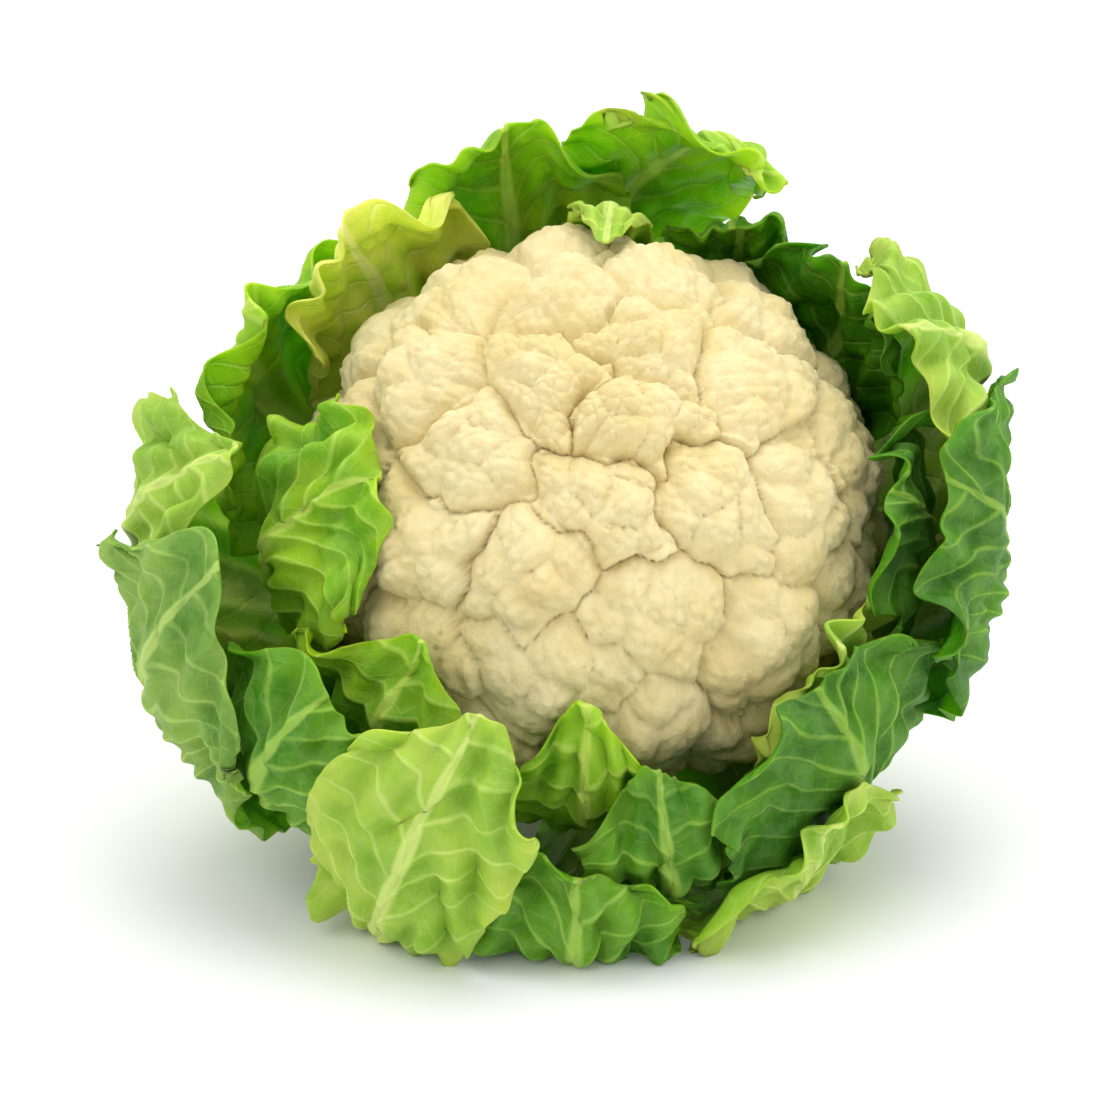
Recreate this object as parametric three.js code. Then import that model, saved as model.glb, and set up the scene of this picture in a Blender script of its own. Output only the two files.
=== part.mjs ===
// A head of cauliflower as it is sold: a cream curd of florets on its cut stem, wrapped in green leaves.
// The head lies tipped on its lower leaves, with the curd facing forwards and up.
// Millimetres, +Z up. The origin is on the surface it lies on, under the middle of the head's outline.
//
// Everything is drawn in head coordinates and tipped at the end. The head's own axis runs from the cut
// stem to the top of the curd. A place on it is given as out, round and along: the distance from the
// axis, the angle round it, counter-clockwise from +X for someone who faces the curd, and the height
// along it from the curd's middle.

import * as THREE from "three";

// Head and its pose
const AXIS_LIFT = 46; // degrees that the axis rises above the surface
const HEAD_CENTRE = new THREE.Vector3(7, 4.2, 92); // the curd's middle, above the surface
const CURD_RADIUS = 74;
const CURD_TOP = 57;
const CURD_BOTTOM = 44;
const GAP = 0.35; // between touching pieces

// Florets: branches in a spiral round the curd's top, each with a spiral of its own smaller heads
const BRANCHES = 44;
const BRANCH_SPREAD = 114; // degrees from the curd's top to its last branches
const BRANCH_CROWDING = 0.56; // over 0.5, the middle of the spiral is tighter
const BRANCH_SWELL = 6.5;
const BRANCH_REACH = 0.34; // radians from a branch's middle to its outermost heads
const HEADS_PER_BRANCH = 10;
const HEAD_SWELL = 2.6;
const MEAN_LUMP = 0.65; // what a lump is on average, so that the dome keeps its size
const CREASE = 0.88; // how near a point is to a crease when it is drawn onto it
const CURD_DETAIL = 18; // triangles grow with its square
const GOLDEN_ANGLE = 137.508;

// Stem
const STEM_RADIUS = 17;
const STEM_TOP = -CURD_BOTTOM - GAP;
const STEM_END = -96;
const STEM_BEVEL = 3; // at the cut end
const STEM_FACETS = 20;

// Leaves
const BLADE = 1.1; // thickness at the edge
const LAYER_GAP = 1.2; // least space left between one leaf and the next
const LAYER_WINDOW = 5; // how far round itself a leaf looks for what it must clear
const ROWS = 15;
const ROW_CROWDING = 0.35; // rows lie closer towards the tip
const ACROSS = [-1, -0.7, -0.42, -0.15, 0.15, 0.42, 0.7, 1];
const RAGGED = 0.045; // how far the sides are notched, as a share of the width
const TORN = 0.24; // and how far the tip is
const TIP_ROUND = 0.2; // how far the tip's corners fall back, as a share of the length
const RIB_STEP = 48; // about the length of one stretch of the midrib

// Half width from the stem to the tip, as a share of the widest
const BROAD = [0.22, 0.52, 0.9, 1, 0.74];
const SLIM = [0.22, 0.42, 0.86, 1, 0.74];
const POINTED = [0.22, 0.4, 0.95, 0.85, 0.3];
const LATE = [0.24, 0.36, 0.6, 0.95, 0.86];

// From the inside out. Each leaf has its place round the head, its midrib as a list of (out, along)
// points from the stem to the tip, and its half width where it is widest. lean turns its tip round
// the head, in degrees. cup bends its sides in towards the curd. Its edges wave by ruffle millimetres,
// waves times from stem to tip. A pressed leaf lies flat on the surface where it meets it.
const LEAVES = [
  { name: "leaf_inner_top", round: 86, half: 9, ruffle: 1, waves: 1, phase: 0.4,
    rib: [[17, -47], [46, -45], [74, -20], [79, 10], [71, 33], [56, 45]] },
  { name: "leaf_inner_upper_right", round: 36, lean: 4, half: 29, ruffle: 5, waves: 2, phase: 0.2,
    rib: [[17, -47], [50, -45], [80, -18], [86, 12], [88, 32]] },
  { name: "leaf_inner_lower_right", round: 322, lean: -2, half: 29, ruffle: 5, waves: 3, phase: 2.9,
    rib: [[17, -47], [50, -45], [80, -18], [84, 10], [79, 30]] },
  { name: "leaf_inner_bottom", round: 269, half: 17, ruffle: 3, waves: 2, phase: 0.9,
    rib: [[17, -47], [50, -45], [80, -20], [84, 12], [70, 37]] },
  { name: "leaf_inner_left", round: 193, lean: -2, half: 31, ruffle: 5, waves: 3, phase: 2.2,
    rib: [[17, -47], [50, -45], [80, -18], [85, 14], [72, 37], [52, 48]] },

  { name: "leaf_inner_top_right", round: 62, half: 18, ruffle: 3, waves: 2, phase: 1.7,
    rib: [[17, -52], [50, -48], [80, -20], [85, 6], [79, 25]] },
  { name: "leaf_inner_right", round: 352, half: 29, ruffle: 5, waves: 3, phase: 1.9,
    rib: [[17, -52], [52, -48], [82, -20], [88, 8], [85, 26], [78, 38]] },
  { name: "leaf_inner_lower_left", round: 230, lean: 2, half: 34, ruffle: 4, waves: 3, phase: 0.6,
    rib: [[17, -52], [52, -48], [82, -20], [86, 12], [72, 37]] },
  { name: "leaf_inner_upper_left", round: 126, lean: 11, half: 30, ruffle: 4, waves: 3, phase: 1.2,
    rib: [[17, -52], [52, -48], [82, -20], [91, 14], [86, 44]] },

  { name: "leaf_middle_bottom", round: 281, half: 21, ruffle: 5, waves: 3, phase: 1.1,
    rib: [[17, -58], [55, -54], [90, -30], [106, -8], [99, 14], [84, 26]] },
  { name: "leaf_middle_upper_right", round: 20, half: 39, ruffle: 5, waves: 2, phase: 2.6, cup: 0.3,
    rib: [[17, -58], [56, -54], [92, -24], [108, 12], [101, 36], [82, 45]] },
  { name: "leaf_middle_top_left", round: 103, half: 31, ruffle: 6, waves: 3, phase: 1.4,
    rib: [[17, -58], [56, -54], [88, -26], [98, 4], [99, 34]] },
  { name: "leaf_middle_lower_left", round: 222, lean: 3, half: 35, ruffle: 6, waves: 2, phase: 1.7,
    rib: [[17, -58], [58, -54], [98, -30], [114, -2], [110, 22], [92, 38]] },

  { name: "leaf_middle_upper_left", round: 154, half: 41, ruffle: 5, waves: 3, phase: 0.8,
    rib: [[17, -64], [56, -58], [92, -30], [101, 2], [98, 31]] },
  { name: "leaf_middle_lower_right", round: 311, half: 38, ruffle: 5, waves: 3, phase: 2.0,
    rib: [[17, -64], [56, -58], [92, -30], [102, -4], [97, 22], [83, 37]] },
  { name: "leaf_outer_top", round: 95, lean: -38, half: 26, ruffle: 5, waves: 3, phase: 2.0, shape: POINTED,
    rib: [[17, -64], [58, -58], [92, -30], [101, 2], [98, 34], [87, 48]] },

  { name: "leaf_outer_upper_left", round: 183, half: 30, ruffle: 4, waves: 2, phase: 0.5,
    rib: [[17, -70], [58, -64], [99, -36], [118, -6], [114, 24], [92, 46]] },
  { name: "leaf_outer_right", round: 353, half: 42, ruffle: 6, waves: 3, phase: 2.4,
    rib: [[17, -70], [60, -64], [96, -36], [108, -4], [104, 24], [86, 42]] },
  { name: "leaf_outer_bottom", round: 268, half: 26, ruffle: 5, waves: 3, phase: 1.5, shape: SLIM,
    pressed: true, rib: [[17, -70], [54, -76], [96, -44], [120, -12], [114, 8], [98, 16]] },

  { name: "leaf_outer_left", round: 207, lean: -6, half: 38, ruffle: 4, waves: 3, phase: 1.2,
    rib: [[17, -77], [60, -70], [102, -42], [123, -12], [120, 18], [98, 42]] },
  { name: "leaf_outer_lower_right", round: 294, lean: 10, half: 30, ruffle: 4, waves: 2, phase: 2.1,
    shape: SLIM, pressed: true, rib: [[17, -77], [54, -82], [90, -54], [108, -32], [106, -6], [93, 12]] },

  { name: "leaf_outer_bottom_left", round: 242, lean: 8, half: 28, ruffle: 4, waves: 2, phase: 0.3,
    shape: LATE, pressed: true,
    rib: [[17, -84], [50, -84], [95, -48], [122, -18], [118, 14], [101, 38], [84, 48]] },
];

const CURD_COLOUR = "#efe2b8";
const STEM_COLOUR = "#dfe6b4";
const LEAF_COLOURS = { inner: "#a3bd45", middle: "#6fa03a", outer: "#4c8434" };

const radians = THREE.MathUtils.degToRad;
const clamp = THREE.MathUtils.clamp;
const smooth = THREE.MathUtils.smoothstep;
const axisSine = Math.sin(radians(AXIS_LIFT));
const axisCosine = Math.cos(radians(AXIS_LIFT));

// A number from 0 to 1 that looks random and is always the same for n.
function scatter(n) {
  const x = Math.sin(n * 12.9898 + 4.1) * 43758.5453;
  return x - Math.floor(x);
}

// A smooth curve through evenly spaced numbers, at t from 0 to 1, and straight on beyond.
function through(list, t) {
  const last = list.length - 1;
  const x = t * last;
  const i = clamp(Math.floor(x), 0, last - 1);
  if (x > last) return list[last] + (x - last) * (list[last] - list[last - 1]);
  const before = i > 0 ? list[i - 1] : 2 * list[0] - list[1];
  const after = i + 2 <= last ? list[i + 2] : 2 * list[last] - list[last - 1];
  const f = Math.max(x - i, 0);
  const bend = 2 * before - 5 * list[i] + 4 * list[i + 1] - after;
  const turn = 3 * (list[i] - list[i + 1]) + after - before;
  return list[i] + 0.5 * f * (list[i + 1] - before + f * (bend + f * turn));
}

const direction = (polar, round) =>
  new THREE.Vector3(Math.sin(polar) * Math.cos(round), Math.sin(polar) * Math.sin(round), Math.cos(polar));
const polarOf = (d) => Math.acos(clamp(d.z / d.length(), -1, 1));
const heightOf = (p) => HEAD_CENTRE.z + p.y * axisCosine + p.z * axisSine;

// The curd's plain dome, as the distance from its middle in a direction.
function domeRadius(d) {
  const tall = d.z > 0 ? CURD_TOP : CURD_BOTTOM;
  return 1 / Math.hypot(Math.hypot(d.x, d.y) / CURD_RADIUS, d.z / tall);
}

// The smaller heads on one branch, in a spiral of their own round the branch's middle.
function headsOf(centre, n) {
  const side = new THREE.Vector3(-centre.y, centre.x, 0).normalize();
  const up = new THREE.Vector3().crossVectors(centre, side);
  return Array.from({ length: HEADS_PER_BRANCH }, (_, k) => {
    const away = BRANCH_REACH * Math.sqrt((k + 0.3) / HEADS_PER_BRANCH);
    const turn = radians(k * GOLDEN_ANGLE + 360 * scatter(n + 50));
    const head = centre.clone().addScaledVector(side, away * Math.cos(turn));
    return head.addScaledVector(up, away * Math.sin(turn)).normalize();
  });
}

// The branches, in a golden spiral out from the top.
const branches = Array.from({ length: BRANCHES }, (_, n) => {
  const polar = radians(BRANCH_SPREAD) * Math.pow((n + 0.5) / BRANCHES, BRANCH_CROWDING);
  const round = radians(n * GOLDEN_ANGLE + 14 * (scatter(n) - 0.5));
  const centre = direction(polar, round);
  return { centre, heads: headsOf(centre, n) };
});
const branchCentres = branches.map((branch) => branch.centre);

// The two of some directions nearest to d, and how close d is to their border: 0 far away, 1 on it.
function nearest(places, d) {
  let [first, second, own, other] = [Infinity, Infinity, 0, 0];
  places.forEach((place, i) => {
    const far = place.distanceTo(d);
    if (far < first) [second, other, first, own] = [first, own, far, i];
    else if (far < second) [second, other] = [far, i];
  });
  return { own, other, edge: (2 * first) / (first + second) };
}

// The height of a rounded lump, from 1 in its middle down to near 0 at its edge.
const lump = (edge, flatness) => Math.sqrt(1 - 0.97 * edge ** flatness);

// The curd's surface: the dome, swollen into branches with creases between them and small heads on each.
// The florets end on the underside, where the curd is hidden.
function curdRadius(d) {
  const branch = nearest(branchCentres, d);
  const head = nearest(branches[branch.own].heads, d);
  const shown = 1 - smooth(polarOf(d), radians(100), radians(130));
  const swell = BRANCH_SWELL * (lump(branch.edge, 2.4) - MEAN_LUMP);
  const bump = HEAD_SWELL * (lump(head.edge, 2) - MEAN_LUMP);
  return domeRadius(d) + shown * (swell + bump);
}

// Moves a direction that is close to a crease onto it, so that the creases come out sharp.
function snapToCrease(d) {
  const { own, other, edge } = nearest(branchCentres, d);
  if (edge < CREASE) return;
  const apart = branchCentres[own].clone().sub(branchCentres[other]);
  d.addScaledVector(apart, -d.dot(apart) / apart.lengthSq()).normalize();
}

function curd() {
  const ball = new THREE.IcosahedronGeometry(1, CURD_DETAIL);
  const place = ball.getAttribute("position");
  const d = new THREE.Vector3();
  for (let i = 0; i < place.count; i++) {
    d.fromBufferAttribute(place, i).normalize();
    const polar = polarOf(d);
    const drawn = polar - 0.22 * Math.sin(2 * polar) - 0.14 * Math.sin(polar); // finer on the top
    d.copy(direction(drawn, Math.atan2(d.y, d.x)));
    snapToCrease(d);
    d.multiplyScalar(curdRadius(d));
    d.z = Math.max(d.z, -CURD_BOTTOM);
    place.setXYZ(i, d.x, d.y, d.z);
  }
  return ball;
}

function stem() {
  const profile = [
    [0, STEM_END], [STEM_RADIUS - STEM_BEVEL, STEM_END], [STEM_RADIUS, STEM_END + STEM_BEVEL],
    [STEM_RADIUS, STEM_TOP - STEM_BEVEL], [STEM_RADIUS - 1, STEM_TOP], [0, STEM_TOP],
  ].map(([out, along]) => new THREE.Vector2(out, along));
  return new THREE.LatheGeometry(profile, STEM_FACETS).rotateX(Math.PI / 2);
}

// How far out the head reaches so far in each direction from its middle, as a table of small cells.
const CELL = radians(2);
const POLAR_CELLS = 90;
const ROUND_CELLS = 180;
const reached = new Float64Array(POLAR_CELLS * ROUND_CELLS);

function cellOf(p) {
  const polar = Math.min(Math.floor(polarOf(p) / CELL), POLAR_CELLS - 1);
  const round = Math.floor((Math.atan2(p.y, p.x) + 2 * Math.PI) / CELL) % ROUND_CELLS;
  return [polar, round];
}

function stampReach(p) {
  const [polar, round] = cellOf(p);
  const cell = polar * ROUND_CELLS + round;
  reached[cell] = Math.max(reached[cell], p.length());
}

// The farthest that the head reaches within a few millimetres of p's direction.
function reachNear(p) {
  const [polar, round] = cellOf(p);
  const overPolar = Math.ceil(LAYER_WINDOW / p.length() / CELL);
  const overRound = Math.ceil(LAYER_WINDOW / Math.max(Math.hypot(p.x, p.y), 8) / CELL);
  let most = 0;
  for (let i = Math.max(polar - overPolar, 0); i <= Math.min(polar + overPolar, POLAR_CELLS - 1); i++)
    for (let j = round - overRound; j <= round + overRound; j++)
      most = Math.max(most, reached[i * ROUND_CELLS + ((j + ROUND_CELLS) % ROUND_CELLS)]);
  return most;
}

function rowAt(i) {
  const even = i / (ROWS - 1);
  return even * (1 + ROW_CROWDING * (1 - even));
}

const halfWidth = (leaf, t) => leaf.half * through(leaf.shape ?? BROAD, Math.min(t, 1));

// The middle surface of a leaf before it makes room for its neighbours. t runs from stem to tip and
// v across, from -1 to 1. A leaf that leans is turned with its midrib, so its sides shift along it.
function bladePoint(leaf, t, v) {
  const { rib, ruffle, waves, phase, lean = 0, cup = 0.12 } = leaf;
  const outs = rib.map((p) => p[0]);
  const highs = rib.map((p) => p[1]);
  const reach = RIB_STEP * (rib.length - 1);
  const notch = ((TORN * leaf.half) / reach) * Math.sin(5 * v + 2.3 * phase);
  const along = t * (1 - TIP_ROUND * v * v * t * t + t * notch);
  const rough = 1 + RAGGED * Math.sin(2 * Math.PI * 3.3 * t + phase + 2 * Math.sign(v));
  const aside = v * halfWidth(leaf, along) * rough;
  const turn = Math.atan2(2 * radians(lean) * along * through(outs, along), reach);
  const s = along - (aside * Math.sin(turn)) / reach;
  const out = through(outs, s);
  const rise = new THREE.Vector2(
    through(outs, s + 0.01) - through(outs, s - 0.01),
    through(highs, s + 0.01) - through(highs, s - 0.01),
  ).normalize();
  const free = smooth(along, 0.3, 1);
  const wave = Math.abs(v) ** 1.6 * Math.sin(2 * Math.PI * waves * along + 2 * phase + 1.9 * Math.sign(v));
  const buckle = 0.5 * Math.sin(4 * v + 3 * phase) * Math.cos(10 * along + phase);
  const off = free * (ruffle * (wave + buckle) - cup * Math.abs(aside));
  const round = radians(leaf.round + lean * along * along) + (aside * Math.cos(turn)) / Math.max(out, 12);
  const r = out + off * rise.y;
  return new THREE.Vector3(r * Math.cos(round), r * Math.sin(round), through(highs, s) - off * rise.x);
}

// Thickness of the midrib's swelling on a leaf's back.
function ribSwell(leaf, t, v) {
  const tall = (leaf.half / 9) * (1 - t) ** 1.2 + 0.35;
  const wide = 2.2 + (leaf.half / 5) * (1 - t);
  return tall * Math.exp(-(((v * halfWidth(leaf, t)) / wide) ** 2));
}

const COLUMNS = ACROSS.length;
const gridIndex = (i, j) => clamp(i, 0, ROWS - 1) * COLUMNS + clamp(j, 0, COLUMNS - 1);

// The leaf's middle surface as a grid of points, moved straight out until it clears what is inside it.
function clearedGrid(leaf) {
  const grid = [];
  for (let i = 0; i < ROWS; i++) for (const v of ACROSS) grid.push(bladePoint(leaf, rowAt(i), v));
  const room = LAYER_GAP + BLADE / 2;
  let push = grid.map((p, k) => (k < COLUMNS ? 0 : Math.max(reachNear(p) + room - p.length(), 0)));
  for (let pass = 0; pass < 3; pass++)
    push = push.map((own, k) => {
      const [i, j] = [Math.floor(k / COLUMNS), k % COLUMNS];
      if (i === 0) return 0;
      const around = [gridIndex(i - 1, j), gridIndex(i + 1, j), gridIndex(i, j - 1), gridIndex(i, j + 1)];
      return Math.max(own, (0.9 / 4) * around.reduce((sum, n) => sum + push[n], 0));
    });
  grid.forEach((p, k) => p.multiplyScalar(1 + push[k] / p.length()));
  return grid;
}

// Lifts a point to a height over the surface that the head lies on, if it is below it.
function liftTo(p, height) {
  const short = height - heightOf(p);
  if (short <= 0) return;
  p.y += short * axisCosine;
  p.z += short * axisSine;
}

// The leaf's back, with its midrib, and its front, as two grids of points.
function leafFaces(leaf) {
  const grid = clearedGrid(leaf);
  const [front, back] = [[], []];
  grid.forEach((p, k) => {
    const [i, j] = [Math.floor(k / COLUMNS), k % COLUMNS];
    const down = grid[gridIndex(i + 1, j)].clone().sub(grid[gridIndex(i - 1, j)]);
    const over = grid[gridIndex(i, j + 1)].clone().sub(grid[gridIndex(i, j - 1)]);
    const outward = over.cross(down).normalize();
    const swell = ribSwell(leaf, rowAt(i), ACROSS[j]);
    const outer = p.clone().addScaledVector(outward, BLADE / 2 + swell);
    const inner = p.clone().addScaledVector(outward, -BLADE / 2);
    if (leaf.pressed) {
      liftTo(outer, 0);
      liftTo(inner, Math.min(heightOf(outer), 0.01) + BLADE + swell);
    }
    if (i === 0)
      for (const end of [outer, inner]) {
        const stretch = (STEM_RADIUS + GAP) / Math.hypot(end.x, end.y);
        end.set(end.x * stretch, end.y * stretch, end.z);
      }
    front.push(inner);
    back.push(outer);
  });
  return { front, back };
}

// Notes how far out a leaf's back reaches, for the leaves that come after it.
function stampLeaf(back) {
  const samples = [0, 0.2, 0.4, 0.6, 0.8, 1];
  for (let i = 0; i < ROWS - 1; i++)
    for (let j = 0; j < COLUMNS - 1; j++)
      for (const a of samples) {
        const left = back[gridIndex(i, j)].clone().lerp(back[gridIndex(i + 1, j)], a);
        const right = back[gridIndex(i, j + 1)].clone().lerp(back[gridIndex(i + 1, j + 1)], a);
        for (const b of samples) stampReach(left.clone().lerp(right, b));
      }
}

// One closed body from a leaf's front and back. Both are split alike, so that a wave can't cross itself.
function leafGeometry(leaf) {
  const { front, back } = leafFaces(leaf);
  stampLeaf(back);
  const under = front.length;
  const faces = [];
  const quad = (a, b, c, d) => faces.push(a, b, c, a, c, d);
  for (let i = 0; i < ROWS - 1; i++)
    for (let j = 0; j < COLUMNS - 1; j++) {
      const [a, b] = [gridIndex(i, j), gridIndex(i, j + 1)];
      const [c, d] = [gridIndex(i + 1, j + 1), gridIndex(i + 1, j)];
      faces.push(a, c, b, a, d, c);
      faces.push(under + a, under + b, under + c, under + a, under + c, under + d);
    }
  for (let i = 0; i < ROWS - 1; i++) {
    const [a, b] = [gridIndex(i, 0), gridIndex(i + 1, 0)];
    const [c, d] = [gridIndex(i, COLUMNS - 1), gridIndex(i + 1, COLUMNS - 1)];
    quad(a, under + a, under + b, b);
    quad(c, d, under + d, under + c);
  }
  for (let j = 0; j < COLUMNS - 1; j++) {
    const [a, b] = [gridIndex(0, j), gridIndex(0, j + 1)];
    const [c, d] = [gridIndex(ROWS - 1, j), gridIndex(ROWS - 1, j + 1)];
    quad(a, b, under + b, under + a);
    quad(c, under + c, under + d, d);
  }
  const geometry = new THREE.BufferGeometry().setFromPoints([...front, ...back]);
  geometry.setIndex(faces);
  geometry.computeVertexNormals();
  return geometry;
}

// The innermost leaves clear the curd.
for (let i = 0; i < POLAR_CELLS; i++)
  for (let j = 0; j < ROUND_CELLS; j++) {
    const d = direction((i + 0.5) * CELL, (j + 0.5) * CELL);
    stampReach(d.multiplyScalar(curdRadius(d)));
  }

const head = new THREE.Group();
function addPiece(name, geometry, color, roughness) {
  const mesh = new THREE.Mesh(geometry, new THREE.MeshStandardMaterial({ color, roughness, metalness: 0 }));
  mesh.name = name;
  head.add(mesh);
}
addPiece("curd", curd(), CURD_COLOUR, 0.7);
addPiece("stem", stem(), STEM_COLOUR, 0.6);
for (const leaf of LEAVES) {
  const ring = leaf.name.split("_")[1];
  addPiece(leaf.name, leafGeometry(leaf), LEAF_COLOURS[ring], 0.5);
}

head.rotation.x = radians(90 - AXIS_LIFT);
head.position.copy(HEAD_CENTRE);
const cauliflower = new THREE.Group();
cauliflower.add(head);

export default cauliflower;
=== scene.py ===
# The finished look of a head of cauliflower, tipped over and lying on its lower leaves.
#
# Shapes are worked out in millimetres in the head's own coordinates, as the CAD solids are. The head's
# axis runs from the cut stem to the top of the curd. A place on it is given as out, round and along: the
# distance from the axis, the angle round it, and the height along it from the curd's middle. stand()
# tips the head over and puts it into the scene, in metres.

from dataclasses import dataclass

import bmesh
import bpy
import numpy as np
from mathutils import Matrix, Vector


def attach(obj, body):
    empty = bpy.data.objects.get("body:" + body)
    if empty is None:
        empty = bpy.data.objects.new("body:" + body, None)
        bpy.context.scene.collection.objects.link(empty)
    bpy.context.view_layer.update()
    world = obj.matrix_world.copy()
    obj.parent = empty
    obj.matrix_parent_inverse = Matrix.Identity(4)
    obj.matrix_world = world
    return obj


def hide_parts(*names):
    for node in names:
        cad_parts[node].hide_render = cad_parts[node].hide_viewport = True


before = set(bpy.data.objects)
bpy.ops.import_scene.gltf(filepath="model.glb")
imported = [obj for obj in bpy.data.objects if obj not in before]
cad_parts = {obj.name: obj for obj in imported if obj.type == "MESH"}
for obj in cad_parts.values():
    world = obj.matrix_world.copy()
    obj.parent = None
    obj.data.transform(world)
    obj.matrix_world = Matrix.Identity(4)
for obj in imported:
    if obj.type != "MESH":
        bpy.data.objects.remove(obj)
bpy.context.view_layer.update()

# The head and its pose, as in the CAD
AXIS_LIFT = 46
HEAD_CENTRE = np.array([7.0, 4.2, 92.0])
CURD_RADIUS = 74
CURD_TOP = 57
CURD_BOTTOM = 44
GAP = 0.35

# Florets: branches, the heads on each branch, and the buds on each head
BRANCHES = 44
BRANCH_SPREAD = 114
BRANCH_CROWDING = 0.56
BRANCH_LOOSE = 14
BRANCH_SWELL = 6.5
BRANCH_REACH = 0.34
BRANCH_FLATNESS = 2.4
HEADS_PER_BRANCH = 10
HEAD_SWELL = 2.6
BUDS_PER_HEAD = 13
BUD_REACH = 0.115
BUD_SWELL = 0.85
MEAN_LUMP = 0.65
FLORETS_FADE = (100, 130)
GOLDEN_ANGLE = 137.508

# Florets, finer than the CAD: how round they are, how their borders run, and how each differs
DOME_SHARE = 0.9
DOME_SINK = 0.25
HEAD_SHARE = 0.92
HEAD_SINK = 0.55
BUD_SHARE = 1.15
CLEFT_DEPTH = 0.22
CLEFT_FROM = 0.6
FLORET_PROUD = 3
FLORET_TILT = 5
BRANCH_PULL = 0.36
BORDER_REACH = 0.15
WIDE_WANDER = (15, 2.4)
NARROW_WANDER = (6, 0.8)
BALL_STEPS = 97

# Grain of the curd
GRAIN_SIZE = 2.4
GRAIN_HEIGHT = 0.34
GRAIN_SEED = 3

# Stem
STEM_RADIUS = 17
STEM_TOP = -CURD_BOTTOM - GAP
STEM_END = -96
STEM_BEVEL = 3
FIBRES = 46
FIBRE_RING = 12.6
FIBRE_SIZE = 0.75
FIBRE_LOOSE = 0.9
FIBRE_SEED = 5
STEM_RIDGES = 26
SCAR_AT = -89
SCARS = 5

# Leaves as in the CAD
BLADE = 1.1
LAYER_GAP = 1.2
LAYER_WINDOW = 5
ROWS = 15
ROW_CROWDING = 0.35
ACROSS = np.array([-1, -0.7, -0.42, -0.15, 0.15, 0.42, 0.7, 1])
RAGGED = 0.045
TORN = 0.24
TIP_ROUND = 0.2
RIB_STEP = 48
BROAD = (0.22, 0.52, 0.9, 1, 0.74)
SLIM = (0.22, 0.42, 0.86, 1, 0.74)
POINTED = (0.22, 0.4, 0.95, 0.85, 0.3)
LATE = (0.24, 0.36, 0.6, 0.95, 0.86)

# Leaves, finer than the CAD
FINE_ROWS = 140
FINE_COLUMNS = 84
BLADE_MIDDLE = 0.95
BLADE_EDGE = 0.5
FRILL_LENGTH = 27
FRILL_DEPTH = 13
VEIN_GAP = 21
VEIN_SLOPE = 1.25
VEIN_SLANT = 0.8
VEIN_CURVE = 0.006
VEIN_HEIGHT = 0.9
PUFF = 1.5
PLEAT = 2
PLEATS = 2.3
FULLER = 3.5
CRUMPLE = 2
FRAY = 1.3
FRAY_LENGTH = 15
TEAR_DEPTH = 8
TEAR_LENGTH = 13
TEAR_FROM = 0.36
FINE_ROOM = 0.3

# Lumps of the finer blade: how long they are along the midrib and across it
VEIN_SWAY = (40, 27)
VEIN_KINK = (13, 12)
BLISTERS = (11, 9)
RIDGES = (21, 17)
CRUMPLES = (24, 20)
CRINKLES = (9, 7)
PLEAT_TURNS = (45, 30)
PLEAT_PATCHES = (50, 40)
FRILL_TURNS = (30, 30)
FRILL_PATCHES = (34, 34)
CRIMPS = (8, 8)


@dataclass
class Leaf:
    """One wrapper leaf. The rib is a list of (out, along) points of its midrib, from stem to tip."""

    name: str
    finish: str
    round: float
    half: float
    ruffle: float
    waves: int
    phase: float
    rib: list
    lean: float = 0
    cup: float = 0.12
    shape: tuple = BROAD
    pressed: bool = False
    frill: float = 2.6


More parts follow.
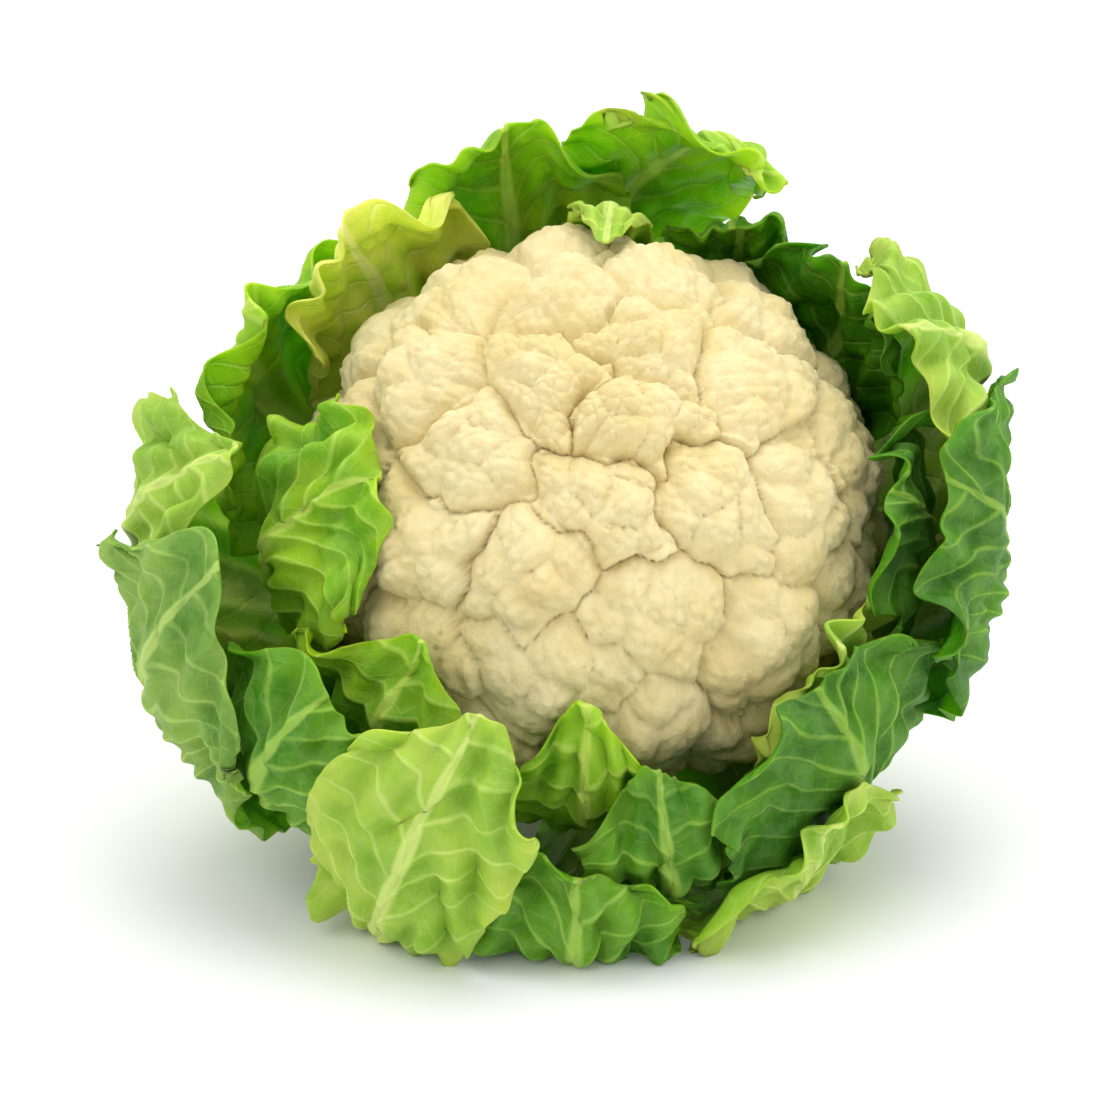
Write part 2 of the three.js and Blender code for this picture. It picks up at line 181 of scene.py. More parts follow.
LEAVES = [
    Leaf("leaf_inner_top", "pale", 86, 9, 1, 1, 0.4,
         [(17, -47), (46, -45), (74, -20), (79, 10), (71, 33), (56, 45)], frill=1),
    Leaf("leaf_inner_upper_right", "dark", 36, 29, 5, 2, 0.2,
         [(17, -47), (50, -45), (80, -18), (86, 12), (88, 32)], lean=4),
    Leaf("leaf_inner_lower_right", "pale", 322, 29, 5, 3, 2.9,
         [(17, -47), (50, -45), (80, -18), (84, 10), (79, 30)], lean=-2),
    Leaf("leaf_inner_bottom", "bright", 269, 17, 3, 2, 0.9,
         [(17, -47), (50, -45), (80, -20), (84, 12), (70, 37)], frill=1.4),
    Leaf("leaf_inner_left", "bright", 193, 31, 5, 3, 2.2,
         [(17, -47), (50, -45), (80, -18), (85, 14), (72, 37), (52, 48)], lean=-2),
    Leaf("leaf_inner_top_right", "mid", 62, 18, 3, 2, 1.7,
         [(17, -52), (50, -48), (80, -20), (85, 6), (79, 25)], frill=1.8),
    Leaf("leaf_inner_right", "dark", 352, 29, 5, 3, 1.9,
         [(17, -52), (52, -48), (82, -20), (88, 8), (85, 26), (78, 38)]),
    Leaf("leaf_inner_lower_left", "bright", 230, 34, 4, 3, 0.6,
         [(17, -52), (52, -48), (82, -20), (86, 12), (72, 37)], lean=2),
    Leaf("leaf_inner_upper_left", "yellow", 126, 30, 4, 3, 1.2,
         [(17, -52), (52, -48), (82, -20), (91, 14), (86, 44)], lean=11),
    Leaf("leaf_middle_bottom", "mid", 281, 21, 5, 3, 1.1,
         [(17, -58), (55, -54), (90, -30), (106, -8), (99, 14), (84, 26)]),
    Leaf("leaf_middle_upper_right", "pale", 20, 39, 5, 2, 2.6,
         [(17, -58), (56, -54), (92, -24), (108, 12), (101, 36), (82, 45)], cup=0.3),
    Leaf("leaf_middle_top_left", "bright", 103, 31, 6, 3, 1.4,
         [(17, -58), (56, -54), (88, -26), (98, 4), (99, 34)]),
    Leaf("leaf_middle_lower_left", "mid", 222, 35, 6, 2, 1.7,
         [(17, -58), (58, -54), (98, -30), (114, -2), (110, 22), (92, 38)], lean=3),
    Leaf("leaf_middle_upper_left", "bright", 154, 41, 5, 3, 0.8,
         [(17, -64), (56, -58), (92, -30), (101, 2), (98, 31)]),
    Leaf("leaf_middle_lower_right", "dark", 311, 38, 5, 3, 2.0,
         [(17, -64), (56, -58), (92, -30), (102, -4), (97, 22), (83, 37)]),
    Leaf("leaf_outer_top", "bright", 95, 26, 5, 3, 2.0,
         [(17, -64), (58, -58), (92, -30), (101, 2), (98, 34), (87, 48)], lean=-38, shape=POINTED),
    Leaf("leaf_outer_upper_left", "pale", 183, 30, 4, 2, 0.5,
         [(17, -70), (58, -64), (99, -36), (118, -6), (114, 24), (92, 46)]),
    Leaf("leaf_outer_right", "dark", 353, 42, 6, 3, 2.4,
         [(17, -70), (60, -64), (96, -36), (108, -4), (104, 24), (86, 42)]),
    Leaf("leaf_outer_bottom", "mid", 268, 26, 5, 3, 1.5,
         [(17, -70), (54, -76), (96, -44), (120, -12), (114, 8), (98, 16)], shape=SLIM, pressed=True),
    Leaf("leaf_outer_left", "grey", 207, 38, 4, 3, 1.2,
         [(17, -77), (60, -70), (102, -42), (123, -12), (120, 18), (98, 42)], lean=-6),
    Leaf("leaf_outer_lower_right", "pale", 294, 30, 4, 2, 2.1,
         [(17, -77), (54, -82), (90, -54), (108, -32), (106, -6), (93, 12)],
         lean=10, shape=SLIM, pressed=True),
    Leaf("leaf_outer_bottom_left", "pale", 242, 28, 4, 2, 0.3,
         [(17, -84), (50, -84), (95, -48), (122, -18), (118, 14), (101, 38), (84, 48)],
         lean=8, shape=LATE, pressed=True),
]

# Leaf finishes: the blade's main green, its lighter patches, and its ribs and veins
LEAF_FINISHES = {
    "bright": ("#5a9a04", "#a2ca1a", "#c6dc62"),
    "yellow": ("#bcd434", "#e8ee70", "#f0f4a4"),
    "dark": ("#1d5800", "#508a08", "#8fb340"),
    "mid": ("#327400", "#6a9d0e", "#a2c450"),
    "grey": ("#55852a", "#8cad46", "#b6cf6e"),
    "pale": ("#7aa824", "#afc948", "#d2e080"),
}

BLOOM = "#b4c894"

# Patterns: sizes in metres, but in tenths of a metre for the net and in millimetres for the rim.
# What is shown is a share, from 0 to 1
LEAF_PATCH = 0.022
LEAF_SPECK = 0.005
LEAF_SKIN = 0.0007
RIM_WIDTH = 7.0
NET_CELL = 0.052
NET_LINE = 0.075
NET_BEND = 0.018
NET_SHOWN = 0.13
RIB_SHOWN = 0.72
VEINS_SHOWN = (0.34, 0.46)
BLOOM_SHOWN = (0.02, 0.09)
CURD_PATCH = 0.03
CURD_MOTTLE = 0.004
FLECKS_PER_METRE = 130.0

SINE = np.sin(np.radians(AXIS_LIFT))
COSINE = np.cos(np.radians(AXIS_LIFT))
UP = np.array([0, COSINE, SINE])


def scatter(n):
    """A number from 0 to 1 that looks random and is always the same for n."""
    x = np.sin(n * 12.9898 + 4.1) * 43758.5453
    return x - np.floor(x)


def smooth(x, low, high):
    """A soft step from 0 at low to 1 at high."""
    x = np.clip((x - low) / (high - low), 0, 1)
    return x * x * (3 - 2 * x)


def through(values, t):
    """A smooth curve through evenly spaced values, at t from 0 to 1, and straight on beyond."""
    values = np.asarray(values, float)
    t = np.asarray(t, float)
    last = len(values) - 1
    x = t * last
    i = np.clip(np.floor(x), 0, last - 1).astype(int)
    padded = np.concatenate([[2 * values[0] - values[1]], values, [2 * values[-1] - values[-2]]])
    before, start, end, after = (padded[i + k] for k in range(4))
    extra_axes = (1,) * (values.ndim - 1)
    f = np.maximum(x - i, 0).reshape(t.shape + extra_axes)
    bend = 2 * before - 5 * start + 4 * end - after
    turn = 3 * (start - end) + after - before
    curve = start + 0.5 * f * (end - before + f * (bend + f * turn))
    over = (x - last).reshape(f.shape)
    return np.where(over > 0, values[-1] + over * (values[-1] - values[-2]), curve)


def noise(x, y, seed):
    """Soft noise over a plane, from about -1 to 1, with lumps about one unit across."""
    i, j = np.floor(x), np.floor(y)
    f, g = x - i, y - j
    total = 0
    for a in (0, 1):
        for b in (0, 1):
            turn = 2 * np.pi * scatter(i + a + 61.7 * (j + b) + 13.1 * seed)
            near = (1 - smooth(abs(f - a), 0, 1)) * (1 - smooth(abs(g - b), 0, 1))
            total = total + near * (np.cos(turn) * (f - a) + np.sin(turn) * (g - b))
    return 1.6 * total


def unit(vectors):
    return vectors / np.maximum(np.linalg.norm(vectors, axis=-1, keepdims=True), 1e-9)


def stand(points):
    """From head coordinates in millimetres to the scene in metres, with the head tipped over."""
    x, y, z = np.moveaxis(points, -1, 0)
    tipped = np.stack([x, y * SINE - z * COSINE, y * COSINE + z * SINE], axis=-1)
    return (tipped + HEAD_CENTRE) / 1000


def height_of(points):
    return HEAD_CENTRE[2] + points @ UP


# Curd

def direction(polar, around):
    return np.stack([np.sin(polar) * np.cos(around), np.sin(polar) * np.sin(around), np.cos(polar)], axis=-1)


def polar_of(d):
    return np.arccos(np.clip(d[..., 2] / np.linalg.norm(d, axis=-1), -1, 1))


def dome_radius(d):
    tall = np.where(d[:, 2] > 0, CURD_TOP, CURD_BOTTOM)
    return 1 / np.hypot(np.hypot(d[:, 0], d[:, 1]) / CURD_RADIUS, d[:, 2] / tall)


def spiral_on(centres, count, reach, first_turn):
    """A golden spiral of smaller lumps round each centre."""
    side = unit(np.stack([-centres[:, 1], centres[:, 0], np.zeros(len(centres))], axis=1))[:, None]
    up = np.cross(centres[:, None], side)
    k = np.arange(count)
    away = reach * np.sqrt((k + 0.3) / count)
    turn = np.radians(k * GOLDEN_ANGLE + 360 * first_turn[:, None])
    along_side = (away * np.cos(turn))[..., None] * side
    along_up = (away * np.sin(turn))[..., None] * up
    return unit(centres[:, None] + along_side + along_up)


branch_number = np.arange(BRANCHES)
branch_centres = direction(
    np.radians(BRANCH_SPREAD) * ((branch_number + 0.5) / BRANCHES) ** BRANCH_CROWDING,
    np.radians(branch_number * GOLDEN_ANGLE + BRANCH_LOOSE * (scatter(branch_number) - 0.5)),
)
head_centres = spiral_on(branch_centres, HEADS_PER_BRANCH, BRANCH_REACH, scatter(branch_number + 50))
head_number = np.arange(BRANCHES * HEADS_PER_BRANCH)
all_heads = head_centres.reshape(-1, 3)
bud_centres = spiral_on(all_heads, BUDS_PER_HEAD, BUD_REACH, scatter(head_number + 500))
head_owner = np.repeat(branch_number, HEADS_PER_BRANCH)
kept_heads = np.flatnonzero((all_heads @ branch_centres.T).argmax(axis=1) == head_owner)


def nearest(places, d):
    """Which place each direction is nearest to, and how close it is to the border with the next: 1 on it."""
    dots = d @ places.T if places.ndim == 2 else np.einsum("nkj,nj->nk", places, d)
    far = np.sqrt(np.maximum(2 - 2 * dots, 0))
    own = far.argmin(axis=1)
    first = far.min(axis=1)
    np.put_along_axis(far, own[:, None], np.inf, axis=1)
    return own, 2 * first / (first + far.min(axis=1))


def lump(edge, flatness):
    return np.sqrt(1 - 0.97 * edge**flatness)


def florets_shown(d):
    """1 where the florets are whole, down to 0 on the curd's underside."""
    return 1 - smooth(polar_of(d), *np.radians(FLORETS_FADE))


def plain_curd_radius(d):
    """The curd as it is in the CAD, with branches and heads."""
    branch, branch_edge = nearest(branch_centres, d)
    _, head_edge = nearest(head_centres[branch], d)
    swell = BRANCH_SWELL * (lump(branch_edge, BRANCH_FLATNESS) - MEAN_LUMP)
    bump = HEAD_SWELL * (lump(head_edge, 2) - MEAN_LUMP)
    return dome_radius(d) + florets_shown(d) * (swell + bump)


def wander(d, size, far, seed):
    """Moves directions a little this way and that, so that borders between lumps aren't straight."""
    x, y, z = (d * CURD_RADIUS / size).T
    shift = np.stack([noise(y + 9, z, seed), noise(z + 9, x, seed + 1), noise(x + 9, y, seed + 2)], axis=1)
    return unit(d + shift * far / CURD_RADIUS)


def head_borders(d):
    """The head each direction is on, and how close it is to the next head and to the next branch's heads."""
    owner = head_owner[kept_heads]
    from_head = np.sqrt(np.maximum(2 - 2 * d @ all_heads[kept_heads].T, 0))
    from_head = from_head / (0.85 + 0.3 * scatter(kept_heads + 90))
    from_branch = np.sqrt(np.maximum(2 - 2 * d @ branch_centres.T, 0))
    far = from_head + BRANCH_PULL * from_branch[:, owner]
    own = far.argmin(axis=1)
    same_branch = owner[own][:, None] == owner
    other_branch = np.where(same_branch, np.inf, far).min(axis=1)
    border = 1 - np.clip((other_branch - far.min(axis=1)) / BORDER_REACH, 0, 1)
    heads_here = np.where(same_branch, from_head, np.inf)
    first = from_head[np.arange(len(d)), own]
    np.put_along_axis(heads_here, own[:, None], np.inf, axis=1)
    head_edge = 2 * first / (first + heads_here.min(axis=1))
    return kept_heads[own], np.clip(np.maximum(head_edge, border), 0, 1), border


def fine_curd(d):
    """The curd's radius with buds on its heads, and how deep in a crease each direction is."""
    loose = wander(wander(d, *WIDE_WANDER, 1), *NARROW_WANDER, 5)
    _, dome_edge = nearest(branch_centres, loose)
    blocks = [head_borders(part) for part in np.array_split(loose, 1 + len(d) // 20000)]
    head, head_edge, border = (np.concatenate(parts) for parts in zip(*blocks))
    branch = head_owner[head]
    bud, bud_edge = nearest(bud_centres[head], loose)
    spin = 2 * np.pi * scatter(branch + 70)
    slope = np.stack([np.cos(spin), np.sin(spin), np.cos(3 * spin)], axis=1)
    tilt = FLORET_TILT * ((loose - branch_centres[branch]) * slope).sum(axis=1)
    proud = FLORET_PROUD * (scatter(branch + 7) - 0.5)
    rounded = (DOME_SHARE * BRANCH_SWELL + proud) * (1 - dome_edge**BRANCH_FLATNESS)
    dome = rounded - DOME_SINK * BRANCH_SWELL + tilt
    cleft = -CLEFT_DEPTH * BRANCH_SWELL * np.clip((border - CLEFT_FROM) / (1 - CLEFT_FROM), 0, 1) ** 3
    head_rise = HEAD_SHARE * HEAD_SWELL * (0.6 + 0.7 * scatter(head + 31))
    bump = head_rise * (1 - head_edge**2.2 - HEAD_SINK)
    bud_rise = BUD_SWELL * (0.5 + scatter(head * BUDS_PER_HEAD + bud))
    bead = BUD_SHARE * bud_rise * (lump(bud_edge, 1.9) - MEAN_LUMP)
    # How deep in a crease each point is; the curd's material uses it to paint shade into the creases.
    crease = np.clip(border**18 + 0.22 * head_edge**12 + 0.1 * bud_edge**8, 0, 1)
    return dome_radius(d) + florets_shown(d) * (dome + cleft + bump + bead), crease


def geodesic(steps):
    """Points spread evenly over a ball of radius 1, and the triangles between them."""
    shape = bmesh.new()
    bmesh.ops.create_icosphere(shape, subdivisions=1, radius=1)
    corners = np.array([v.co for v in shape.verts])
    sides = np.array([[v.index for v in face.verts] for face in shape.faces])
    shape.free()
    i, j = np.nonzero(np.add.outer(np.arange(steps + 1), np.arange(steps + 1)) <= steps)
    number = np.zeros((steps + 2, steps + 2), int)
    number[i, j] = np.arange(len(i))
    weights = np.stack([steps - i - j, i, j], axis=1) / steps
    points = np.einsum("mk,fkc->fmc", weights, corners[sides])
    a, b = i[i + j < steps], j[i + j < steps]
    upright = np.stack([number[a, b], number[a + 1, b], number[a, b + 1]], axis=1)
    c, d = i[i + j < steps - 1], j[i + j < steps - 1]
    between = np.stack([number[c + 1, d], number[c + 1, d + 1], number[c, d + 1]], axis=1)
    one_side = np.concatenate([upright, between])
    triangles = (one_side[None] + len(i) * np.arange(len(sides))[:, None, None]).reshape(-1, 3)
    rounded = np.round(points.reshape(-1, 3), 6) + 0.0
    merged, place = np.unique(rounded, axis=0, return_inverse=True)
    return unit(merged), place.reshape(-1)[triangles]


def put_in_scene(name, data):
    placed = bpy.data.objects.new(name, data)
    bpy.context.scene.collection.objects.link(placed)
    return placed


def new_piece(name, points, faces, attributes=None):
    """A mesh object from points in head coordinates, with one number for each point and attribute."""
    mesh = bpy.data.meshes.new(name)
    mesh.from_pydata(stand(points).tolist(), [], faces.tolist())
    mesh.polygons.foreach_set("use_smooth", np.ones(len(mesh.polygons), bool))
    for label, values in (attributes or {}).items():
        layer = mesh.attributes.new(label, "FLOAT", "POINT")
        layer.data.foreach_set("value", np.asarray(values, np.float32).ravel())
    mesh.update()
    return put_in_scene(name, mesh)


def curd_dome():
    """The curd, with its points drawn together towards its top, where the florets show."""
    d, triangles = geodesic(BALL_STEPS)
    polar = polar_of(d)
    drawn = polar - 0.22 * np.sin(2 * polar) - 0.14 * np.sin(polar)
    d = direction(drawn, np.arctan2(d[:, 1], d[:, 0]))
    radius, crease = fine_curd(d)
    points = d * radius[:, None]
    points[:, 2] = np.maximum(points[:, 2], -CURD_BOTTOM)
    return new_piece("curd_florets", points, triangles, {"crease": crease})


# Leaves as in the CAD: how far the head reaches in each direction, and each leaf moved clear of it

class ReachTable:
    """How far out the head reaches so far, in cells of so many degrees round its middle."""

    def __init__(self, degrees):
        self.cell = np.radians(degrees)
        self.polars = int(180 / degrees)
        self.rounds = int(360 / degrees)
        self.far = np.zeros((self.polars, self.rounds))

    def cell_centres(self):
        polar, around = np.meshgrid(np.arange(self.polars), np.arange(self.rounds), indexing="ij")
        return direction((polar.ravel() + 0.5) * self.cell, (around.ravel() + 0.5) * self.cell)

    def place(self, points):
        """Each point's place in the table, in cells."""
        around = np.mod(np.arctan2(points[..., 1], points[..., 0]), 2 * np.pi)
        return polar_of(points) / self.cell, around / self.cell

    def stamp(self, points):
        polar, around = self.place(points)
        rows = np.minimum(polar.astype(int), self.polars - 1)
        columns = around.astype(int) % self.rounds
        np.maximum.at(self.far, (rows, columns), np.linalg.norm(points, axis=-1))

    def near(self, point, window):
        """The farthest reach within a window of so many millimetres round a point."""
        polar, around = (int(x) for x in self.place(point))
        over_polar = int(np.ceil(window / np.linalg.norm(point) / self.cell))
        over_round = int(np.ceil(window / max(np.hypot(point[0], point[1]), 8) / self.cell))
        rows = np.arange(max(polar - over_polar, 0), min(polar + over_polar, self.polars - 1) + 1)
        columns = np.arange(around - over_round, around + over_round + 1) % self.rounds
        return self.far[np.ix_(rows, columns)].max()

    def widened(self):
        """The table with each cell as far out as the farthest cell beside it."""
        rows = np.arange(self.polars)
        over = [self.far[np.clip(rows + k, 0, self.polars - 1)] for k in (-1, 0, 1)]
        tall = np.maximum.reduce(over)
        wide = tall.copy()
        steps = np.ceil(1 / np.maximum(np.sin((rows + 0.5) * self.cell), 0.12)).astype(int)
        for k in range(-steps.max(), steps.max() + 1):
            inside = steps >= abs(k)
            wide[inside] = np.maximum(wide[inside], np.roll(tall, k, axis=1)[inside])
        return wide

    def between(self, table, points):
        """A table's value at points, blended between cells."""
        polar, around = self.place(points)
        polar, around = polar - 0.5, around - 0.5
        i, j = np.floor(polar).astype(int), np.floor(around).astype(int)
        f, g = polar - i, around - j
        rows = [np.clip(i + k, 0, self.polars - 1) for k in (0, 1)]
        columns = [(j + k) % self.rounds for k in (0, 1)]
        first = table[rows[0], columns[0]] * (1 - g) + table[rows[0], columns[1]] * g
        second = table[rows[1], columns[0]] * (1 - g) + table[rows[1], columns[1]] * g
        return first * (1 - f) + second * f


def row_at(i, rows):
    even = i / (rows - 1)
    return even * (1 + ROW_CROWDING * (1 - even))


def half_width(leaf, t):
    return leaf.half * through(leaf.shape, np.minimum(t, 1))


def arc_length(leaf, t):
    """Millimetres along the midrib at t."""
    fine = np.linspace(0, 1, 201)
    path = through(leaf.rib, fine)
    steps = np.linalg.norm(np.diff(path, axis=0), axis=1)
    return np.interp(t, fine, np.concatenate([[0], np.cumsum(steps)]))


def fray(leaf, u, v):
    """How far the leaf's edge stands out or is torn back, in millimetres."""
    seed = leaf.round
    side = 40 * np.sign(v)
    torn = np.maximum(noise(u / TEAR_LENGTH + side, 0.3 * side, seed) - TEAR_FROM, 0)
    return FRAY * noise(u / FRAY_LENGTH + side, side, seed + 1) - TEAR_DEPTH * torn


def blade_point(leaf, t, v, frayed=False):
    """The middle surface of a leaf before it makes room for its neighbours. t runs from stem to tip."""
    outs, highs = np.array(leaf.rib, float).T
    reach = RIB_STEP * (len(leaf.rib) - 1)
    notch = TORN * leaf.half / reach * np.sin(5 * v + 2.3 * leaf.phase)
    along = t * (1 - TIP_ROUND * v * v * t * t + t * notch)
    rough = 1 + RAGGED * np.sin(2 * np.pi * 3.3 * t + leaf.phase + 2 * np.sign(v))
    aside = v * half_width(leaf, along) * rough
    if frayed:
        free_edge = smooth(t, 0.3, 0.5)
        fuller = FULLER * np.sin(np.pi * np.minimum(t, 1))
        aside = aside + free_edge * np.sign(v) * abs(v) ** 7 * (fuller + fray(leaf, arc_length(leaf, t), v))
        along = along + t**14 * fray(leaf, 500 + v * leaf.half, 1 + 0 * v) / reach
    turn = np.arctan2(2 * np.radians(leaf.lean) * along * through(outs, along), reach)
    s = along - aside * np.sin(turn) / reach
    out = through(outs, s)
    rise_out = through(outs, s + 0.01) - through(outs, s - 0.01)
    rise_along = through(highs, s + 0.01) - through(highs, s - 0.01)
    size = np.hypot(rise_out, rise_along)
    free = smooth(along, 0.3, 1)
    edge_wave = 2 * np.pi * leaf.waves * along + 2 * leaf.phase + 1.9 * np.sign(v)
    buckle = 0.5 * np.sin(4 * v + 3 * leaf.phase) * np.cos(10 * along + leaf.phase)
    off = free * (leaf.ruffle * (abs(v) ** 1.6 * np.sin(edge_wave) + buckle) - leaf.cup * abs(aside))
    around = np.radians(leaf.round + leaf.lean * along * along) + aside * np.cos(turn) / np.maximum(out, 12)
    r = out + off * rise_along / size
    high = through(highs, s) - off * rise_out / size
    return np.stack([r * np.cos(around), r * np.sin(around), high], axis=-1)


def rib_swell(leaf, t, v):
    """How far the midrib swells the leaf's back."""
    tall = leaf.half / 9 * np.maximum(1 - t, 0) ** 1.2 + 0.35
    wide = 2.2 + leaf.half / 5 * (1 - t)
    return tall * np.exp(-((v * half_width(leaf, t) / wide) ** 2))


def outward_of(grid):
    """The direction out of a leaf's back, at each point of its grid."""
    padded = np.pad(grid, ((1, 1), (1, 1), (0, 0)), mode="edge")
    down = padded[2:, 1:-1] - padded[:-2, 1:-1]
    over = padded[1:-1, 2:] - padded[1:-1, :-2]
    return unit(np.cross(over, down))


def spread_push(own, passes, share):
    """Lets each push draw its neighbours along, so that a leaf bends clear and isn't dented."""
    push = own
    for _ in range(passes):
        padded = np.pad(push, 1, mode="edge")
        around = padded[2:, 1:-1] + padded[:-2, 1:-1] + padded[1:-1, 2:] + padded[1:-1, :-2]
        push = np.maximum(push, share / 4 * around)
        push[0] = 0
    return push


def lift_to(points, height):
    """Points raised to a height over the floor, where they are below it."""
    return points + np.maximum(height - height_of(points), 0)[..., None] * UP


def leaf_faces(leaf, grid, swell, blade):
    """The leaf's front and back on both sides of its middle surface."""
    outward = outward_of(grid)
    outer = grid + outward * (blade / 2 + swell)[..., None]
    inner = grid - outward * (blade / 2)[..., None]
    if leaf.pressed:
        outer = lift_to(outer, 0)
        inner = lift_to(inner, np.minimum(height_of(outer), 0.01) + blade + swell)
    for face in (outer, inner):
        face[0, :, :2] *= ((STEM_RADIUS + GAP) / np.hypot(face[0, :, 0], face[0, :, 1]))[:, None]
    return inner, outer


def resampled(grid, finer):
    """Points of a grid and as many between them, for stamping."""
    i = np.linspace(0, 1, (len(grid) - 1) * finer + 1)
    j = np.linspace(0, 1, (grid.shape[1] - 1) * finer + 1)
    x, y = i * (len(grid) - 1), j * (grid.shape[1] - 1)
    a, b = np.minimum(x.astype(int), len(grid) - 2), np.minimum(y.astype(int), grid.shape[1] - 2)
    f, g = (x - a)[:, None, None], (y - b)[None, :, None]
    rows = grid[a] * (1 - f) + grid[a + 1] * f
    return rows[:, b] * (1 - g) + rows[:, b + 1] * g


def cad_push(leaf, table):
    """How far each point of the CAD's coarse leaf was moved out to clear what lies inside it."""
    t, v = np.meshgrid(row_at(np.arange(ROWS), ROWS), ACROSS, indexing="ij")
    grid = blade_point(leaf, t, v)
    room = LAYER_GAP + BLADE / 2
    reach = np.array([[table.near(p, LAYER_WINDOW) for p in row] for row in grid])
    own = np.maximum(reach + room - np.linalg.norm(grid, axis=-1), 0)
    own[0] = 0
    push = spread_push(own, 3, 0.9)
    grid = grid + unit(grid) * push[..., None]
    _, outer = leaf_faces(leaf, grid, rib_swell(leaf, t, v), np.full(t.shape, BLADE))
    table.stamp(resampled(outer, 5).reshape(-1, 3))
    return push


def between_rows(push, t, v):
    """The coarse push at the fine grid's rows t and columns v."""
    columns = np.interp(v, ACROSS, np.arange(len(ACROSS))) / (len(ACROSS) - 1)
    rows = np.interp(t, row_at(np.arange(ROWS), ROWS), np.arange(ROWS)) / (ROWS - 1)
    across = through(push.T, columns).T
    return np.maximum(through(across, rows), 0)


def lumps(leaf, u, w, size, seed):
    """Soft noise over a blade, with lumps of a given length along its midrib and across it."""
    return noise(u / size[0], w / size[1], leaf.round + seed)


def vein_field(leaf, u, w, length):
    """Counts the side veins: a whole number on each vein. Also the space between two, in millimetres."""
    back = u - VEIN_SLOPE * abs(w) - VEIN_CURVE * w * w
    back = back + 9 * lumps(leaf, u, w, VEIN_SWAY, 0) + 2.2 * lumps(leaf, u, w, VEIN_KINK, 3)
    crowd = 0.5 / length
    count = back / VEIN_GAP * (1 + crowd * back) + np.where(w > 0, 0.5, 0.0)
    gap = VEIN_GAP / (1 + 2 * crowd * back)
    return count, np.maximum(gap, 5)


def blade_relief(leaf, t, v, u, w, length, count):
    """How far the blade stands off its plain shape, with puffs between veins, crumples and a frilled edge."""
    free = smooth(t, 0.22, 0.55)
    between = np.sin(np.pi * count) ** 2
    from_edge = np.minimum((1 - abs(v)) * half_width(leaf, t), (1 - t) * length)
    blisters = 0.45 + 0.9 * lumps(leaf, u, w, BLISTERS, 4)
    puff = PUFF * np.minimum(abs(w) / 8, 1) * between * blisters
    ridged = 1 - 2.6 * abs(lumps(leaf, u, w, RIDGES, 5))
    crumple = CRUMPLE * (0.8 * lumps(leaf, u, w, CRUMPLES, 6) - 0.7 * ridged)
    crumple = crumple + 0.5 * lumps(leaf, u, w, CRINKLES, 7)
    fan = 2 * np.pi * PLEATS * v + leaf.phase + 2.2 * lumps(leaf, u, w, PLEAT_TURNS, 11)
    pleated = 0.7 + 0.9 * lumps(leaf, u, w, PLEAT_PATCHES, 12)
    pleat = PLEAT * pleated * np.sin(fan) * np.minimum(abs(w) / 6, 1)
    wave = np.sin(2 * np.pi * (u + 1.3 * w) / FRILL_LENGTH + 3.4 * lumps(leaf, u, w, FRILL_TURNS, 8))
    lively = 1 + 1.3 * lumps(leaf, u, w, FRILL_PATCHES, 9)
    frill = leaf.frill * lively * wave * np.exp(-from_edge / FRILL_DEPTH)
    crimp = 0.3 * leaf.frill * lumps(leaf, u, w, CRIMPS, 10) * np.exp(-from_edge / 6)
    return free * (crumple + pleat + frill + crimp - puff), from_edge


def leaf_mesh_faces(rows, columns):
    """The faces of a closed leaf: its front grid, its back grid, and the rim between them."""
    number = np.arange(rows * columns).reshape(rows, columns)
    a, b, c, d = number[:-1, :-1], number[:-1, 1:], number[1:, 1:], number[1:, :-1]
    under = rows * columns
    front = np.stack([a, d, c, b], axis=-1).reshape(-1, 4)
    back = under + np.stack([a, b, c, d], axis=-1).reshape(-1, 4)

    def rim(start, end):
        return np.stack([start, under + start, under + end, end], axis=-1)

    rims = [
        rim(number[:-1, 0], number[1:, 0]), rim(number[1:, -1], number[:-1, -1]),
        rim(number[0, 1:], number[0, :-1]), rim(number[-1, :-1], number[-1, 1:]),
    ]
    return np.concatenate([front, back] + rims)


